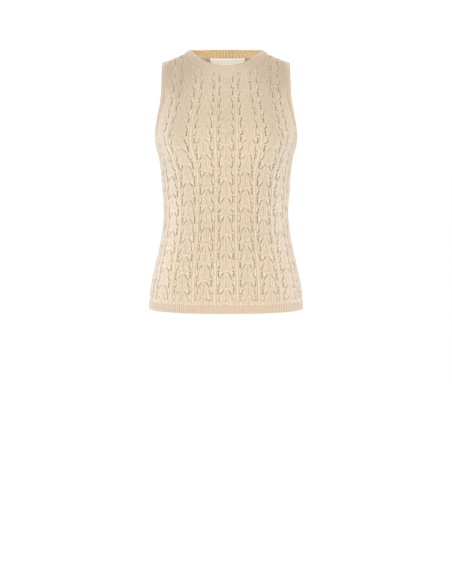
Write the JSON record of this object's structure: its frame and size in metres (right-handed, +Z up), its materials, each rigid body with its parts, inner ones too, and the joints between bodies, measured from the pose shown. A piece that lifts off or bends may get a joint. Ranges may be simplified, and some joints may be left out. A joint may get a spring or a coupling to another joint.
{
  "type": "sleeveless knit top",
  "caption": "Sleeveless crew-neck top in pointelle lace knit, filled out as worn, with a ribbed neckband, armhole bands and hem border.",
  "frame": {"origin": "midway between the shoulders, at the height where the shoulder line meets the neckband, where the wearer's shoulders hold the top", "axes": "+Z up, -Y towards the front of the top, +X towards the wearer's left"},
  "size_m": [0.33, 0.2266, 0.5518],
  "materials": {
    "lace_knit": "matt fine-gauge pointelle knit, with rows of eyelets between raised cords",
    "rib_knit": "matt fine rib knit",
    "label_tape": "smooth woven tape, blank"
  },
  "bodies": {
    "root": {"front": "lace_knit", "back": "lace_knit", "hem_front": "rib_knit", "hem_back": "rib_knit", "neckband": "rib_knit", "armhole_band_left": "rib_knit", "armhole_band_right": "rib_knit", "label": "label_tape"}
  },
  "joints": []
}
